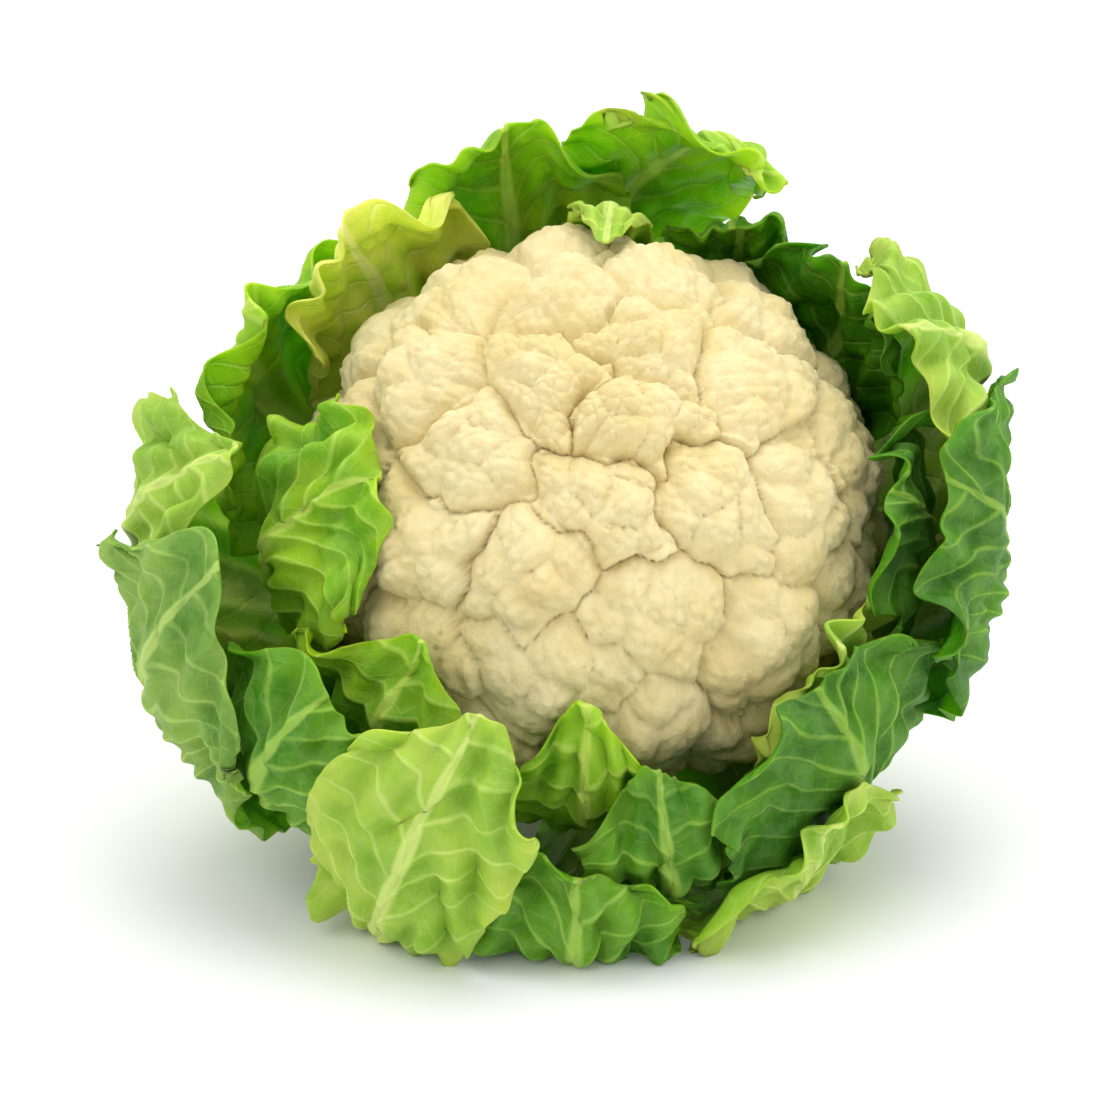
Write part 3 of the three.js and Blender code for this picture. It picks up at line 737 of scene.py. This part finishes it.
def fine_leaf(leaf, coarse, table):
    """The finished leaf, moved clear of the finished pieces inside it."""
    t_line = row_at(np.arange(FINE_ROWS), FINE_ROWS)
    v_line = np.linspace(-1, 1, FINE_COLUMNS)
    t, v = np.meshgrid(t_line, v_line, indexing="ij")
    grid = blade_point(leaf, t, v, frayed=True)
    grid = grid + unit(grid) * between_rows(coarse, t_line, v_line)[..., None]
    u, w = arc_length(leaf, t), v * half_width(leaf, t)
    length = u.max()
    count, gap = vein_field(leaf, u, w, length)
    relief, from_edge = blade_relief(leaf, t, v, u, w, length, count)
    grid = grid + outward_of(grid) * relief[..., None]

    blade = BLADE_EDGE + (BLADE_MIDDLE - BLADE_EDGE) * smooth(from_edge, 0, 12)
    wide = table.widened()
    short = table.between(wide, grid) + FINE_ROOM + blade / 2 - np.linalg.norm(grid, axis=-1)
    own = np.maximum(short, 0) * smooth(t, 0, 0.07)
    push = spread_push(own, 14, 0.985)
    grid = grid + unit(grid) * push[..., None]

    vein_width = 1.5 * (1 - 0.62 * abs(v)) * smooth(t, 0.12, 0.4) * (1 - 0.4 * t)
    from_vein = abs(count - np.round(count)) * gap * VEIN_SLANT
    ridge = VEIN_HEIGHT * vein_width * np.exp(-((from_vein / (0.75 + vein_width)) ** 2))
    swell = rib_swell(leaf, t, v) + ridge
    inner, outer = leaf_faces(leaf, grid, swell, blade)
    if not leaf.pressed:
        outer, inner = lift_to(outer, 0.1), lift_to(inner, 0.1)
    table.stamp(resampled(outer, 3).reshape(-1, 3))

    points = np.concatenate([inner.reshape(-1, 3), outer.reshape(-1, 3)])
    rib_width = 1.1 + leaf.half / 4.2 * (1 - t) ** 1.3
    both = {
        "vein_count": count, "vein_gap": gap, "vein_width": vein_width,
        "from_rib": w, "rib_width": rib_width, "from_edge": from_edge, "up_leaf": t,
    }
    attributes = {label: np.tile(values.ravel(), 2) for label, values in both.items()}
    attributes["leaf_back"] = np.repeat([0.0, 1.0], t.size)
    piece = new_piece(leaf.name + "_blade", points, leaf_mesh_faces(FINE_ROWS, FINE_COLUMNS), attributes)
    flat = np.tile(np.stack([u, w], axis=-1).reshape(-1, 2) / 100, (2, 1))
    corners = np.zeros(len(piece.data.loops), int)
    piece.data.loops.foreach_get("vertex_index", corners)
    blade_map = piece.data.uv_layers.new(name="blade_map")
    blade_map.data.foreach_set("uv", flat[corners].astype(np.float32).ravel())
    return piece


# Stem

def stem_profile():
    """The turned stalk's outline, as its radius and its height: its side, its bevel and its cut end."""
    side = np.linspace(STEM_TOP - 0.4, STEM_END + STEM_BEVEL, 70)
    turn = np.linspace(0, np.pi / 2, 9)[1:]
    cut = np.linspace(STEM_RADIUS - STEM_BEVEL, 1.2, 22)[1:]
    bevel = STEM_RADIUS - STEM_BEVEL * (1 - np.cos(turn))
    bevel_along = STEM_END + STEM_BEVEL * (1 - np.sin(turn))
    radius = np.concatenate([np.full(len(side), float(STEM_RADIUS)), bevel, cut])
    return radius, np.concatenate([side, bevel_along, np.full(len(cut), float(STEM_END))])


def stem_stalk():
    """The turned stalk, a little ridged, with leaf scars near its cut end."""
    columns = 144
    radius, along = stem_profile()
    around = np.arange(columns) * 2 * np.pi / columns
    r, a = np.meshgrid(radius, around, indexing="ij")
    z = np.repeat(along[:, None], columns, axis=1)
    on_side = smooth(r, 8, 15)
    ridges = 0.16 * np.sin(STEM_RIDGES * a + 2 * noise(z / 14, 3 * np.cos(a), 2))
    ridges = ridges + 0.25 * noise(4 * np.cos(a), z / 9, 3)
    from_scar = z - SCAR_AT - 1.5 * np.cos(SCARS * a)
    scar = np.exp(-((from_scar / 1.1) ** 2)) * smooth(np.cos(SCARS * a), -0.3, 0.4)
    r = r + on_side * (ridges - 0.35 + 0.9 * scar)
    sawn = 0.25 * noise(r * np.cos(a) / 3, r * np.sin(a) / 3, 4) + 0.5 * (1 - r / 16)
    z = z + (1 - on_side) * sawn
    rings = np.stack([r * np.cos(a), r * np.sin(a), z], axis=-1).reshape(-1, 3)
    number = np.arange(len(rings)).reshape(len(radius), columns)
    here, there = number[:-1], number[1:]
    sides = np.stack([here, there, np.roll(there, -1, 1), np.roll(here, -1, 1)], axis=-1).reshape(-1, 4)
    piece = new_piece("stem_stalk", rings, sides[:, ::-1], {
        "stem_round": np.tile(around, len(radius)), "stem_along": z.ravel(), "from_axis": r.ravel(),
    })
    shape = bmesh.new()
    shape.from_mesh(piece.data)
    bmesh.ops.holes_fill(shape, edges=[e for e in shape.edges if e.is_boundary])
    bmesh.ops.recalc_face_normals(shape, faces=shape.faces)
    shape.to_mesh(piece.data)
    shape.free()
    return piece


# Node trees

def linear(code):
    """A colour given as #rrggbb, as Blender's linear numbers."""
    parts = np.array([int(code[k:k + 2], 16) for k in (1, 3, 5)]) / 255
    return (*np.where(parts <= 0.04045, parts / 12.92, ((parts + 0.055) / 1.055) ** 2.4), 1.0)


def feed(tree, socket, value):
    """Links a socket to another that is given, or else sets it to the value."""
    if isinstance(value, bpy.types.NodeSocket):
        tree.links.new(value, socket)
    else:
        socket.default_value = value


def add(tree, kind, inputs=None, **settings):
    """A node with its settings made and each input given a value or a link."""
    node = tree.nodes.new(kind)
    for name, value in settings.items():
        setattr(node, name, value)
    for name, value in (inputs or {}).items():
        feed(tree, node.inputs[name], value)
    return node


def made(tree, kind, inputs=None, **settings):
    """The first output of a new node."""
    return add(tree, kind, inputs, **settings).outputs[0]


def math(tree, operation, first, second=0.0):
    return made(tree, "ShaderNodeMath", {0: first, 1: second}, operation=operation)


def times(tree, first, second):
    return math(tree, "MULTIPLY", first, second)


def plus(tree, first, second):
    return math(tree, "ADD", first, second)


def less(tree, first, second):
    return math(tree, "SUBTRACT", first, second)


def vector_math(tree, operation, inputs):
    return made(tree, "ShaderNodeVectorMath", inputs, operation=operation)


def soft_range(tree, value, low, high, at_low=0.0, at_high=1.0):
    """A soft step from at_low, where the value is low, to at_high."""
    return made(tree, "ShaderNodeMapRange", {
        "Value": value, "From Min": low, "From Max": high, "To Min": at_low, "To Max": at_high,
    }, interpolation_type="SMOOTHSTEP")


def mix_colours(tree, share, first, second):
    return add(tree, "ShaderNodeMix", {0: share, 6: first, 7: second}, data_type="RGBA").outputs[2]


def new_group(name, inputs, outputs, kind="ShaderNodeTree"):
    """A node group with named sockets, and its own input and output nodes."""
    tree = bpy.data.node_groups.new(name, kind)
    for label, (socket_kind, value) in inputs.items():
        socket = tree.interface.new_socket(label, in_out="INPUT", socket_type=socket_kind)
        if value is not None:
            socket.default_value = value
    for label, socket_kind in outputs.items():
        tree.interface.new_socket(label, in_out="OUTPUT", socket_type=socket_kind)
    return tree, tree.nodes.new("NodeGroupInput").outputs, tree.nodes.new("NodeGroupOutput").inputs


def use_group(tree, group, inputs):
    return add(tree, "ShaderNodeGroup", inputs, node_tree=group).outputs


FLOAT, VECTOR, WHOLE = "NodeSocketFloat", "NodeSocketVector", "NodeSocketInt"
GEOMETRY = "NodeSocketGeometry"


def patches_group():
    """Cloudy patches of light and dark."""
    inputs = {"Place": (VECTOR, None), "Size": (FLOAT, 0.02)}
    tree, given, result = new_group("patches", inputs, {"Share": FLOAT})
    scale = math(tree, "DIVIDE", 1.0, given["Size"])
    cloud = made(tree, "ShaderNodeTexNoise", {
        "Vector": given["Place"], "Scale": scale, "Detail": 5.0, "Roughness": 0.6,
    })
    tree.links.new(soft_range(tree, cloud, 0.34, 0.66), result["Share"])
    return tree


def grain_group():
    """Fine cells, for the skin of curd, leaf and stem."""
    inputs = {"Place": (VECTOR, None), "Size": (FLOAT, 0.001)}
    tree, given, result = new_group("grain", inputs, {"Height": FLOAT})
    place = given["Place"]
    scale = math(tree, "DIVIDE", 1.0, given["Size"])
    cells = add(tree, "ShaderNodeTexVoronoi", {"Vector": place, "Scale": scale}, feature="SMOOTH_F1")
    finer = times(tree, scale, 2.7)
    cloud = made(tree, "ShaderNodeTexNoise", {"Vector": place, "Scale": finer, "Detail": 3.0})
    domes = less(tree, 1.0, cells.outputs["Distance"])
    tree.links.new(plus(tree, domes, times(tree, cloud, 0.5)), result["Height"])
    return tree


def side_veins_group():
    """A line on each side vein, from its count, the space between veins and the vein's width."""
    inputs = {"Count": (FLOAT, 0.0), "Gap": (FLOAT, 12.0), "Width": (FLOAT, 1.0)}
    tree, given, result = new_group("side_veins", inputs, {"Line": FLOAT})
    share = math(tree, "PINGPONG", given["Count"], 0.5)
    away = times(tree, times(tree, share, given["Gap"]), VEIN_SLANT)
    inside = times(tree, given["Width"], 0.25)
    line = soft_range(tree, away, inside, plus(tree, given["Width"], 0.12), 1.0, 0.0)
    thin = soft_range(tree, given["Width"], 0.05, 0.35)
    tree.links.new(times(tree, line, thin), result["Line"])
    return tree


def vein_net_group():
    """The net of fine veins that fills the blade between its side veins."""
    inputs = {"Place": (VECTOR, None), "Cell": (FLOAT, 0.04), "Width": (FLOAT, 0.06)}
    tree, given, result = new_group("vein_net", inputs, {"Line": FLOAT})
    scale = math(tree, "DIVIDE", 1.0, given["Cell"])
    cloud = add(tree, "ShaderNodeTexNoise", {"Vector": given["Place"], "Scale": scale, "Detail": 2.0})
    bent = vector_math(tree, "SUBTRACT", {0: cloud.outputs["Color"], 1: (0.5, 0.5, 0.5)})
    shift = vector_math(tree, "SCALE", {0: bent, "Scale": NET_BEND})
    place = vector_math(tree, "ADD", {0: given["Place"], 1: shift})
    cells = add(tree, "ShaderNodeTexVoronoi", {"Vector": place, "Scale": scale},
                feature="DISTANCE_TO_EDGE", voronoi_dimensions="2D")
    line = soft_range(tree, cells.outputs["Distance"], 0.0, given["Width"], 1.0, 0.0)
    tree.links.new(line, result["Line"])
    return tree


PATCHES = patches_group()
GRAIN = grain_group()
SIDE_VEINS = side_veins_group()
VEIN_NET = vein_net_group()


def patches_on(tree, place, size):
    return use_group(tree, PATCHES, {"Place": place, "Size": size})["Share"]


def grain_on(tree, place, size):
    return use_group(tree, GRAIN, {"Place": place, "Size": size})["Height"]


def new_material(name):
    """A material, its node tree, its shader, and the place on the object that its patterns read."""
    material = bpy.data.materials.new(name)
    material.use_nodes = True
    tree = material.node_tree
    place = add(tree, "ShaderNodeTexCoord").outputs["Object"]
    return material, tree, tree.nodes["Principled BSDF"], place


def attribute(tree, name):
    return add(tree, "ShaderNodeAttribute", attribute_name=name).outputs["Fac"]


def set_plain(shader, **values):
    """Numbers that are the same all over the surface, straight on the shader."""
    for name, value in values.items():
        shader.inputs[name.replace("_", " ")].default_value = value


def wire(tree, shader, colour, roughness):
    tree.links.new(colour, shader.inputs["Base Color"])
    tree.links.new(roughness, shader.inputs["Roughness"])


def set_bump(tree, shader, height, strength, distance):
    bump = made(tree, "ShaderNodeBump", {"Height": height, "Strength": strength, "Distance": distance})
    tree.links.new(bump, shader.inputs["Normal"])


def leaf_lines(tree, up_leaf):
    """Masks of a leaf's midrib, its side veins and its net of fine veins."""
    veins = use_group(tree, SIDE_VEINS, {
        "Count": attribute(tree, "vein_count"), "Gap": attribute(tree, "vein_gap"),
        "Width": attribute(tree, "vein_width"),
    })["Line"]
    blade_map = add(tree, "ShaderNodeUVMap", uv_map="blade_map").outputs["UV"]
    net = use_group(tree, VEIN_NET, {"Place": blade_map, "Cell": NET_CELL, "Width": NET_LINE})["Line"]
    net = times(tree, net, soft_range(tree, up_leaf, 0.15, 0.4))
    from_rib = math(tree, "ABSOLUTE", attribute(tree, "from_rib"))
    rib_width = attribute(tree, "rib_width")
    rib_line = soft_range(tree, from_rib, times(tree, rib_width, 0.45), rib_width, 1.0, 0.0)
    return rib_line, veins, net


def leaf_material(finish):
    """A satin leaf: two greens in patches, pale ribs, veins and net, a yellower rim and a waxy back."""
    blade, light, rib = (linear(code) for code in LEAF_FINISHES[finish])
    material, tree, shader, place = new_material("leaf_" + finish)
    patches, specks = patches_on(tree, place, LEAF_PATCH), patches_on(tree, place, LEAF_SPECK)
    up_leaf, from_edge = attribute(tree, "up_leaf"), attribute(tree, "from_edge")
    back = attribute(tree, "leaf_back")
    rib_line, veins, net = leaf_lines(tree, up_leaf)

    green = mix_colours(tree, times(tree, patches, 0.75), blade, light)
    green = mix_colours(tree, times(tree, specks, 0.22), green, light)
    rim = soft_range(tree, from_edge, 0.0, RIM_WIDTH, 0.55, 0.0)
    rim = times(tree, rim, soft_range(tree, patches, 0.1, 0.9, 0.35, 1.0))
    green = mix_colours(tree, rim, green, light)
    pale_root = soft_range(tree, up_leaf, 0.12, 0.5, 0.9, 0.0)
    green = mix_colours(tree, pale_root, green, rib)
    green = mix_colours(tree, times(tree, net, NET_SHOWN), green, rib)
    shown = soft_range(tree, back, 0.0, 1.0, *VEINS_SHOWN)
    shown = times(tree, shown, soft_range(tree, patches, 0.0, 0.8, 0.45, 1.0))
    lines = math(tree, "MAXIMUM", times(tree, rib_line, RIB_SHOWN), times(tree, veins, shown))
    green = mix_colours(tree, lines, green, rib)
    bloom = times(tree, back, soft_range(tree, specks, 0.0, 1.0, *BLOOM_SHOWN))
    green = mix_colours(tree, bloom, green, linear(BLOOM))
    dull = plus(tree, 0.4, times(tree, patches, 0.12))
    wire(tree, shader, green, plus(tree, dull, times(tree, back, 0.12)))

    raised = plus(tree, veins, times(tree, net, 0.45))
    side = less(tree, times(tree, back, 1.6), 0.8)
    skin = grain_on(tree, place, LEAF_SKIN)
    relief = plus(tree, times(tree, raised, side), times(tree, skin, 0.12))
    set_bump(tree, shader, relief, 0.55, 0.0006)
    set_plain(shader, Subsurface_Weight=0.5, Subsurface_Scale=0.004, Subsurface_Radius=(0.6, 1.0, 0.12),
              Specular_IOR_Level=0.2)
    return material


def curd_material():
    """Cream flesh, grainy and matt, with painted shade that darkens it down in its creases, and flecked here
    and there.
    """
    material, tree, shader, place = new_material("curd_flesh")
    patches, mottle = patches_on(tree, place, CURD_PATCH), patches_on(tree, place, CURD_MOTTLE)
    cream = mix_colours(tree, patches, linear("#e3d6a6"), linear("#dcca8e"))
    cream = mix_colours(tree, times(tree, mottle, 0.35), cream, linear("#d3bd7d"))
    # Painted shade: the cream turns a darker brown down in the creases, where shade falls.
    shade = soft_range(tree, attribute(tree, "crease"), 0.3, 1.0, 0.0, 0.32)
    cream = mix_colours(tree, shade, cream, linear("#b09056"))
    fleck = add(tree, "ShaderNodeTexVoronoi", {"Vector": place, "Scale": FLECKS_PER_METRE})
    dot = soft_range(tree, fleck.outputs["Distance"], 0.06, 0.16, 0.6, 0.0)
    some = soft_range(tree, patches, 0.72, 0.95)
    cream = mix_colours(tree, times(tree, dot, some), cream, linear("#9c7f55"))
    wire(tree, shader, cream, soft_range(tree, mottle, 0.0, 1.0, 0.55, 0.72))
    beads, fine = grain_on(tree, place, 0.0013), grain_on(tree, place, 0.0005)
    set_bump(tree, shader, plus(tree, beads, times(tree, fine, 0.4)), 0.6, 0.0004)
    set_plain(shader, Subsurface_Weight=0.2, Subsurface_Scale=0.002, Subsurface_Radius=(1.0, 0.9, 0.6),
              Specular_IOR_Level=0.35, Sheen_Weight=0.08, Sheen_Roughness=0.5)
    return material


def cut_face(tree, patches, out):
    """The colour of the stalk's cut end: a ring of fibres in it, and a drier edge."""
    face = mix_colours(tree, patches, linear("#eae6c6"), linear("#d9cfa0"))
    from_ring = math(tree, "ABSOLUTE", less(tree, out, FIBRE_RING))
    face = mix_colours(tree, soft_range(tree, from_ring, 0.3, 2.0, 0.5, 0.0), face, linear("#b8ab6e"))
    dry_edge = soft_range(tree, out, 13.6, 15.6, 0.0, 0.6)
    return mix_colours(tree, dry_edge, face, linear("#a58a55"))


def stem_material():
    """A pale green stalk, streaked along its fibres, with a drier and browner cut face."""
    material, tree, shader, place = new_material("stem_flesh")
    around, along = attribute(tree, "stem_round"), attribute(tree, "stem_along")
    streak_place = made(tree, "ShaderNodeCombineXYZ", {
        "X": times(tree, math(tree, "SINE", around), 14.0),
        "Y": times(tree, math(tree, "COSINE", around), 14.0),
        "Z": times(tree, along, 0.07),
    })
    streaks = made(tree, "ShaderNodeTexNoise", {"Vector": streak_place, "Scale": 1.0, "Detail": 4.0})
    patches = patches_on(tree, place, 0.012)
    green = mix_colours(tree, soft_range(tree, streaks, 0.35, 0.65), linear("#cfd99a"), linear("#e7ebc6"))
    green = mix_colours(tree, times(tree, patches, 0.25), green, linear("#b5c47a"))
    cut = soft_range(tree, along, STEM_END + 0.9, STEM_END + 2.2, 1.0, 0.0)
    face = cut_face(tree, patches, attribute(tree, "from_axis"))
    wire(tree, shader, mix_colours(tree, cut, green, face), soft_range(tree, cut, 0.0, 1.0, 0.45, 0.8))
    skin = grain_on(tree, place, 0.0009)
    set_bump(tree, shader, plus(tree, times(tree, streaks, 1.5), times(tree, skin, 0.5)), 0.5, 0.0005)
    set_plain(shader, Subsurface_Weight=0.2, Subsurface_Scale=0.003, Subsurface_Radius=(0.9, 1.0, 0.5),
              Specular_IOR_Level=0.4)
    return material


def floor_material():
    """A plain white table top with the faintest unevenness."""
    material, tree, shader, place = new_material("table_top")
    patches = patches_on(tree, place, 0.25)
    white = mix_colours(tree, patches, linear("#f6f6f6"), linear("#f3f3f4"))
    wire(tree, shader, white, soft_range(tree, patches, 0.0, 1.0, 0.6, 0.7))
    set_plain(shader, Specular_IOR_Level=0.1)
    return material


# Geometry Nodes

def coat_and_end(tree, shape, material, result):
    """Makes a tree's shape real, gives it its material, and puts it out."""
    real = made(tree, "GeometryNodeRealizeInstances", {0: shape})
    tree.links.new(made(tree, "GeometryNodeSetMaterial", {"Geometry": real, "Material": material}), result)


def curd_grain_tree(material):
    """Swells the curd's skin into small beads."""
    inputs = {
        "Curd": (GEOMETRY, None), "Bead size": (FLOAT, 0.002), "Bead height": (FLOAT, 0.0003),
        "Seed": (FLOAT, 0.0),
    }
    tree, given, result = new_group("curd_grain", inputs, {"Curd": GEOMETRY}, "GeometryNodeTree")
    tree.is_modifier = True
    place = made(tree, "GeometryNodeInputPosition")
    shifted = vector_math(tree, "ADD", {0: place, 1: given["Seed"]})
    scale = math(tree, "DIVIDE", 1.0, given["Bead size"])
    beads = made(tree, "ShaderNodeTexVoronoi", {"Vector": shifted, "Scale": scale, "Smoothness": 0.35},
                 feature="SMOOTH_F1")
    rise = times(tree, less(tree, 0.45, beads), given["Bead height"])
    offset = vector_math(tree, "SCALE", {0: made(tree, "GeometryNodeInputNormal"), "Scale": rise})
    moved = made(tree, "GeometryNodeSetPosition", {"Geometry": given["Curd"], "Offset": offset})
    coat_and_end(tree, moved, material, result["Curd"])
    return tree


def stem_fibres_tree(material):
    """Adds a ring of fibre ends, like small flat beads, to the cut face of the stalk."""
    inputs = {
        "Stalk": (GEOMETRY, None), "Fibres": (WHOLE, 40), "Ring": (FLOAT, 0.012), "Size": (FLOAT, 0.001),
        "Centre": (VECTOR, None), "Turn": (VECTOR, None), "Seed": (WHOLE, 1),
    }
    tree, given, result = new_group("stem_fibres", inputs, {"Stalk": GEOMETRY}, "GeometryNodeTree")
    tree.is_modifier = True
    count, seed = given["Fibres"], given["Seed"]
    ring = made(tree, "GeometryNodeCurvePrimitiveCircle", {"Resolution": count, "Radius": given["Ring"]})
    points = made(tree, "GeometryNodeCurveToPoints", {"Curve": ring, "Count": count})
    aside = FIBRE_LOOSE / 1000
    loose = made(tree, "FunctionNodeRandomValue", {
        0: (-aside, -aside, -0.00005), 1: (aside, aside, 0.0), "Seed": seed,
    }, data_type="FLOAT_VECTOR")
    nudged = made(tree, "GeometryNodeSetPosition", {"Geometry": points, "Offset": loose})
    bead = made(tree, "GeometryNodeMeshIcoSphere", {"Radius": given["Size"], "Subdivisions": 3})
    size = add(tree, "FunctionNodeRandomValue", {2: 0.6, 3: 1.25, "Seed": seed}).outputs[1]
    flat = made(tree, "ShaderNodeCombineXYZ", {"X": size, "Y": size, "Z": 0.5})
    beads = made(tree, "GeometryNodeInstanceOnPoints", {"Points": nudged, "Instance": bead, "Scale": flat})
    placed = made(tree, "GeometryNodeTransform", {
        "Geometry": beads, "Translation": given["Centre"], "Rotation": given["Turn"],
    })
    joined = tree.nodes.new("GeometryNodeJoinGeometry")
    tree.links.new(placed, joined.inputs[0])
    tree.links.new(given["Stalk"], joined.inputs[0])
    coat_and_end(tree, joined.outputs[0], material, result["Stalk"])
    return tree


def grown(piece, tree, values):
    """Runs a tree on a piece with its named inputs, and keeps the result as the piece's plain mesh."""
    modifier = piece.modifiers.new(tree.name, "NODES")
    modifier.node_group = tree
    for socket in tree.interface.items_tree:
        if socket.in_out == "INPUT" and socket.name in values:
            modifier[socket.identifier] = values[socket.name]
    depsgraph = bpy.context.evaluated_depsgraph_get()
    evaluated = piece.evaluated_get(depsgraph)
    mesh = bpy.data.meshes.new_from_object(evaluated, preserve_all_data_layers=True, depsgraph=depsgraph)
    piece.modifiers.remove(modifier)
    piece.data = mesh
    return piece


def finish_piece(piece, node):
    """Puts the piece under the head's body, and hides the CAD part that it stands in for."""
    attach(piece, "root")
    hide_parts(node)


# Making the head

curd = grown(curd_dome(), curd_grain_tree(curd_material()), {
    "Bead size": GRAIN_SIZE / 1000, "Bead height": GRAIN_HEIGHT / 1000, "Seed": float(GRAIN_SEED),
})
finish_piece(curd, "curd")

cut_centre = stand(np.array([0.0, 0.0, STEM_END + 0.1]))
stem = grown(stem_stalk(), stem_fibres_tree(stem_material()), {
    "Fibres": FIBRES, "Ring": FIBRE_RING / 1000, "Size": FIBRE_SIZE / 1000, "Centre": tuple(cut_centre),
    "Turn": (float(np.radians(90 - AXIS_LIFT)), 0.0, 0.0), "Seed": FIBRE_SEED,
})
finish_piece(stem, "stem")

coarse_table, fine_table = ReachTable(2), ReachTable(1)
for table, radius_of in ((coarse_table, plain_curd_radius), (fine_table, lambda d: fine_curd(d)[0])):
    centres = table.cell_centres()
    table.stamp(centres * radius_of(centres)[:, None])
leaf_materials = {finish: leaf_material(finish) for finish in LEAF_FINISHES}
for leaf in LEAVES:
    blade_piece = fine_leaf(leaf, cad_push(leaf, coarse_table), fine_table)
    blade_piece.data.materials.append(leaf_materials[leaf.finish])
    finish_piece(blade_piece, leaf.name)


# Floor, light and camera

CAMERA_LIFT = 22
CAMERA_FAR = 1.0
CAMERA_ASIDE = 0.0105
PHOTO_WIDTH = 0.2887
ROOM_LIGHT = 0.84


def area_light(name, place, target, size, power):
    light = bpy.data.lights.new(name, "AREA")
    light.shape = "SQUARE"
    light.size = size
    light.energy = power
    lamp = put_in_scene(name, light)
    lamp.location = place
    lamp.rotation_euler = (Vector(target) - Vector(place)).to_track_quat("-Z", "Y").to_euler()


def set_stage():
    """A pale table top under the head, three soft lights, and a white room."""
    shape = bmesh.new()
    bmesh.ops.create_grid(shape, x_segments=2, y_segments=2, size=6)
    mesh = bpy.data.meshes.new("table_top")
    shape.to_mesh(mesh)
    shape.free()
    mesh.materials.append(floor_material())
    floor = put_in_scene("table_top", mesh)
    middle = HEAD_CENTRE / 1000
    area_light("softbox_above", (0.15, 0.3, 1.6), middle, 1.5, 16)
    area_light("softbox_left", (-0.9, -0.9, 1.4), middle, 1.2, 7.5)
    area_light("softbox_right", (1.4, -0.4, 0.55), middle, 1.0, 5)
    world = bpy.data.worlds.new("pale_studio")
    world.use_nodes = True
    world.node_tree.nodes["Background"].inputs[0].default_value = (1, 1, 1, 1)
    world.node_tree.nodes["Background"].inputs[1].default_value = ROOM_LIGHT
    bpy.context.scene.world = world
    bpy.context.scene.view_settings.view_transform = "Standard"


def set_camera():
    """The photograph's camera, a little left of and below the head's middle."""
    lift = np.radians(CAMERA_LIFT)
    up = np.array([0, np.sin(lift), np.cos(lift)])
    target = HEAD_CENTRE / 1000 - CAMERA_ASIDE * np.array([1, 0, 0]) - CAMERA_ASIDE * up
    place = target + CAMERA_FAR * np.array([0, -np.cos(lift), np.sin(lift)])
    lens = bpy.data.cameras.new("photo_camera")
    lens.angle = 2 * np.arctan(PHOTO_WIDTH / 2 / CAMERA_FAR)
    camera = put_in_scene("photo_camera", lens)
    camera.location = place
    camera.rotation_euler = Vector(target - place).to_track_quat("-Z", "Y").to_euler()
    bpy.context.scene.camera = camera


set_stage()
set_camera()
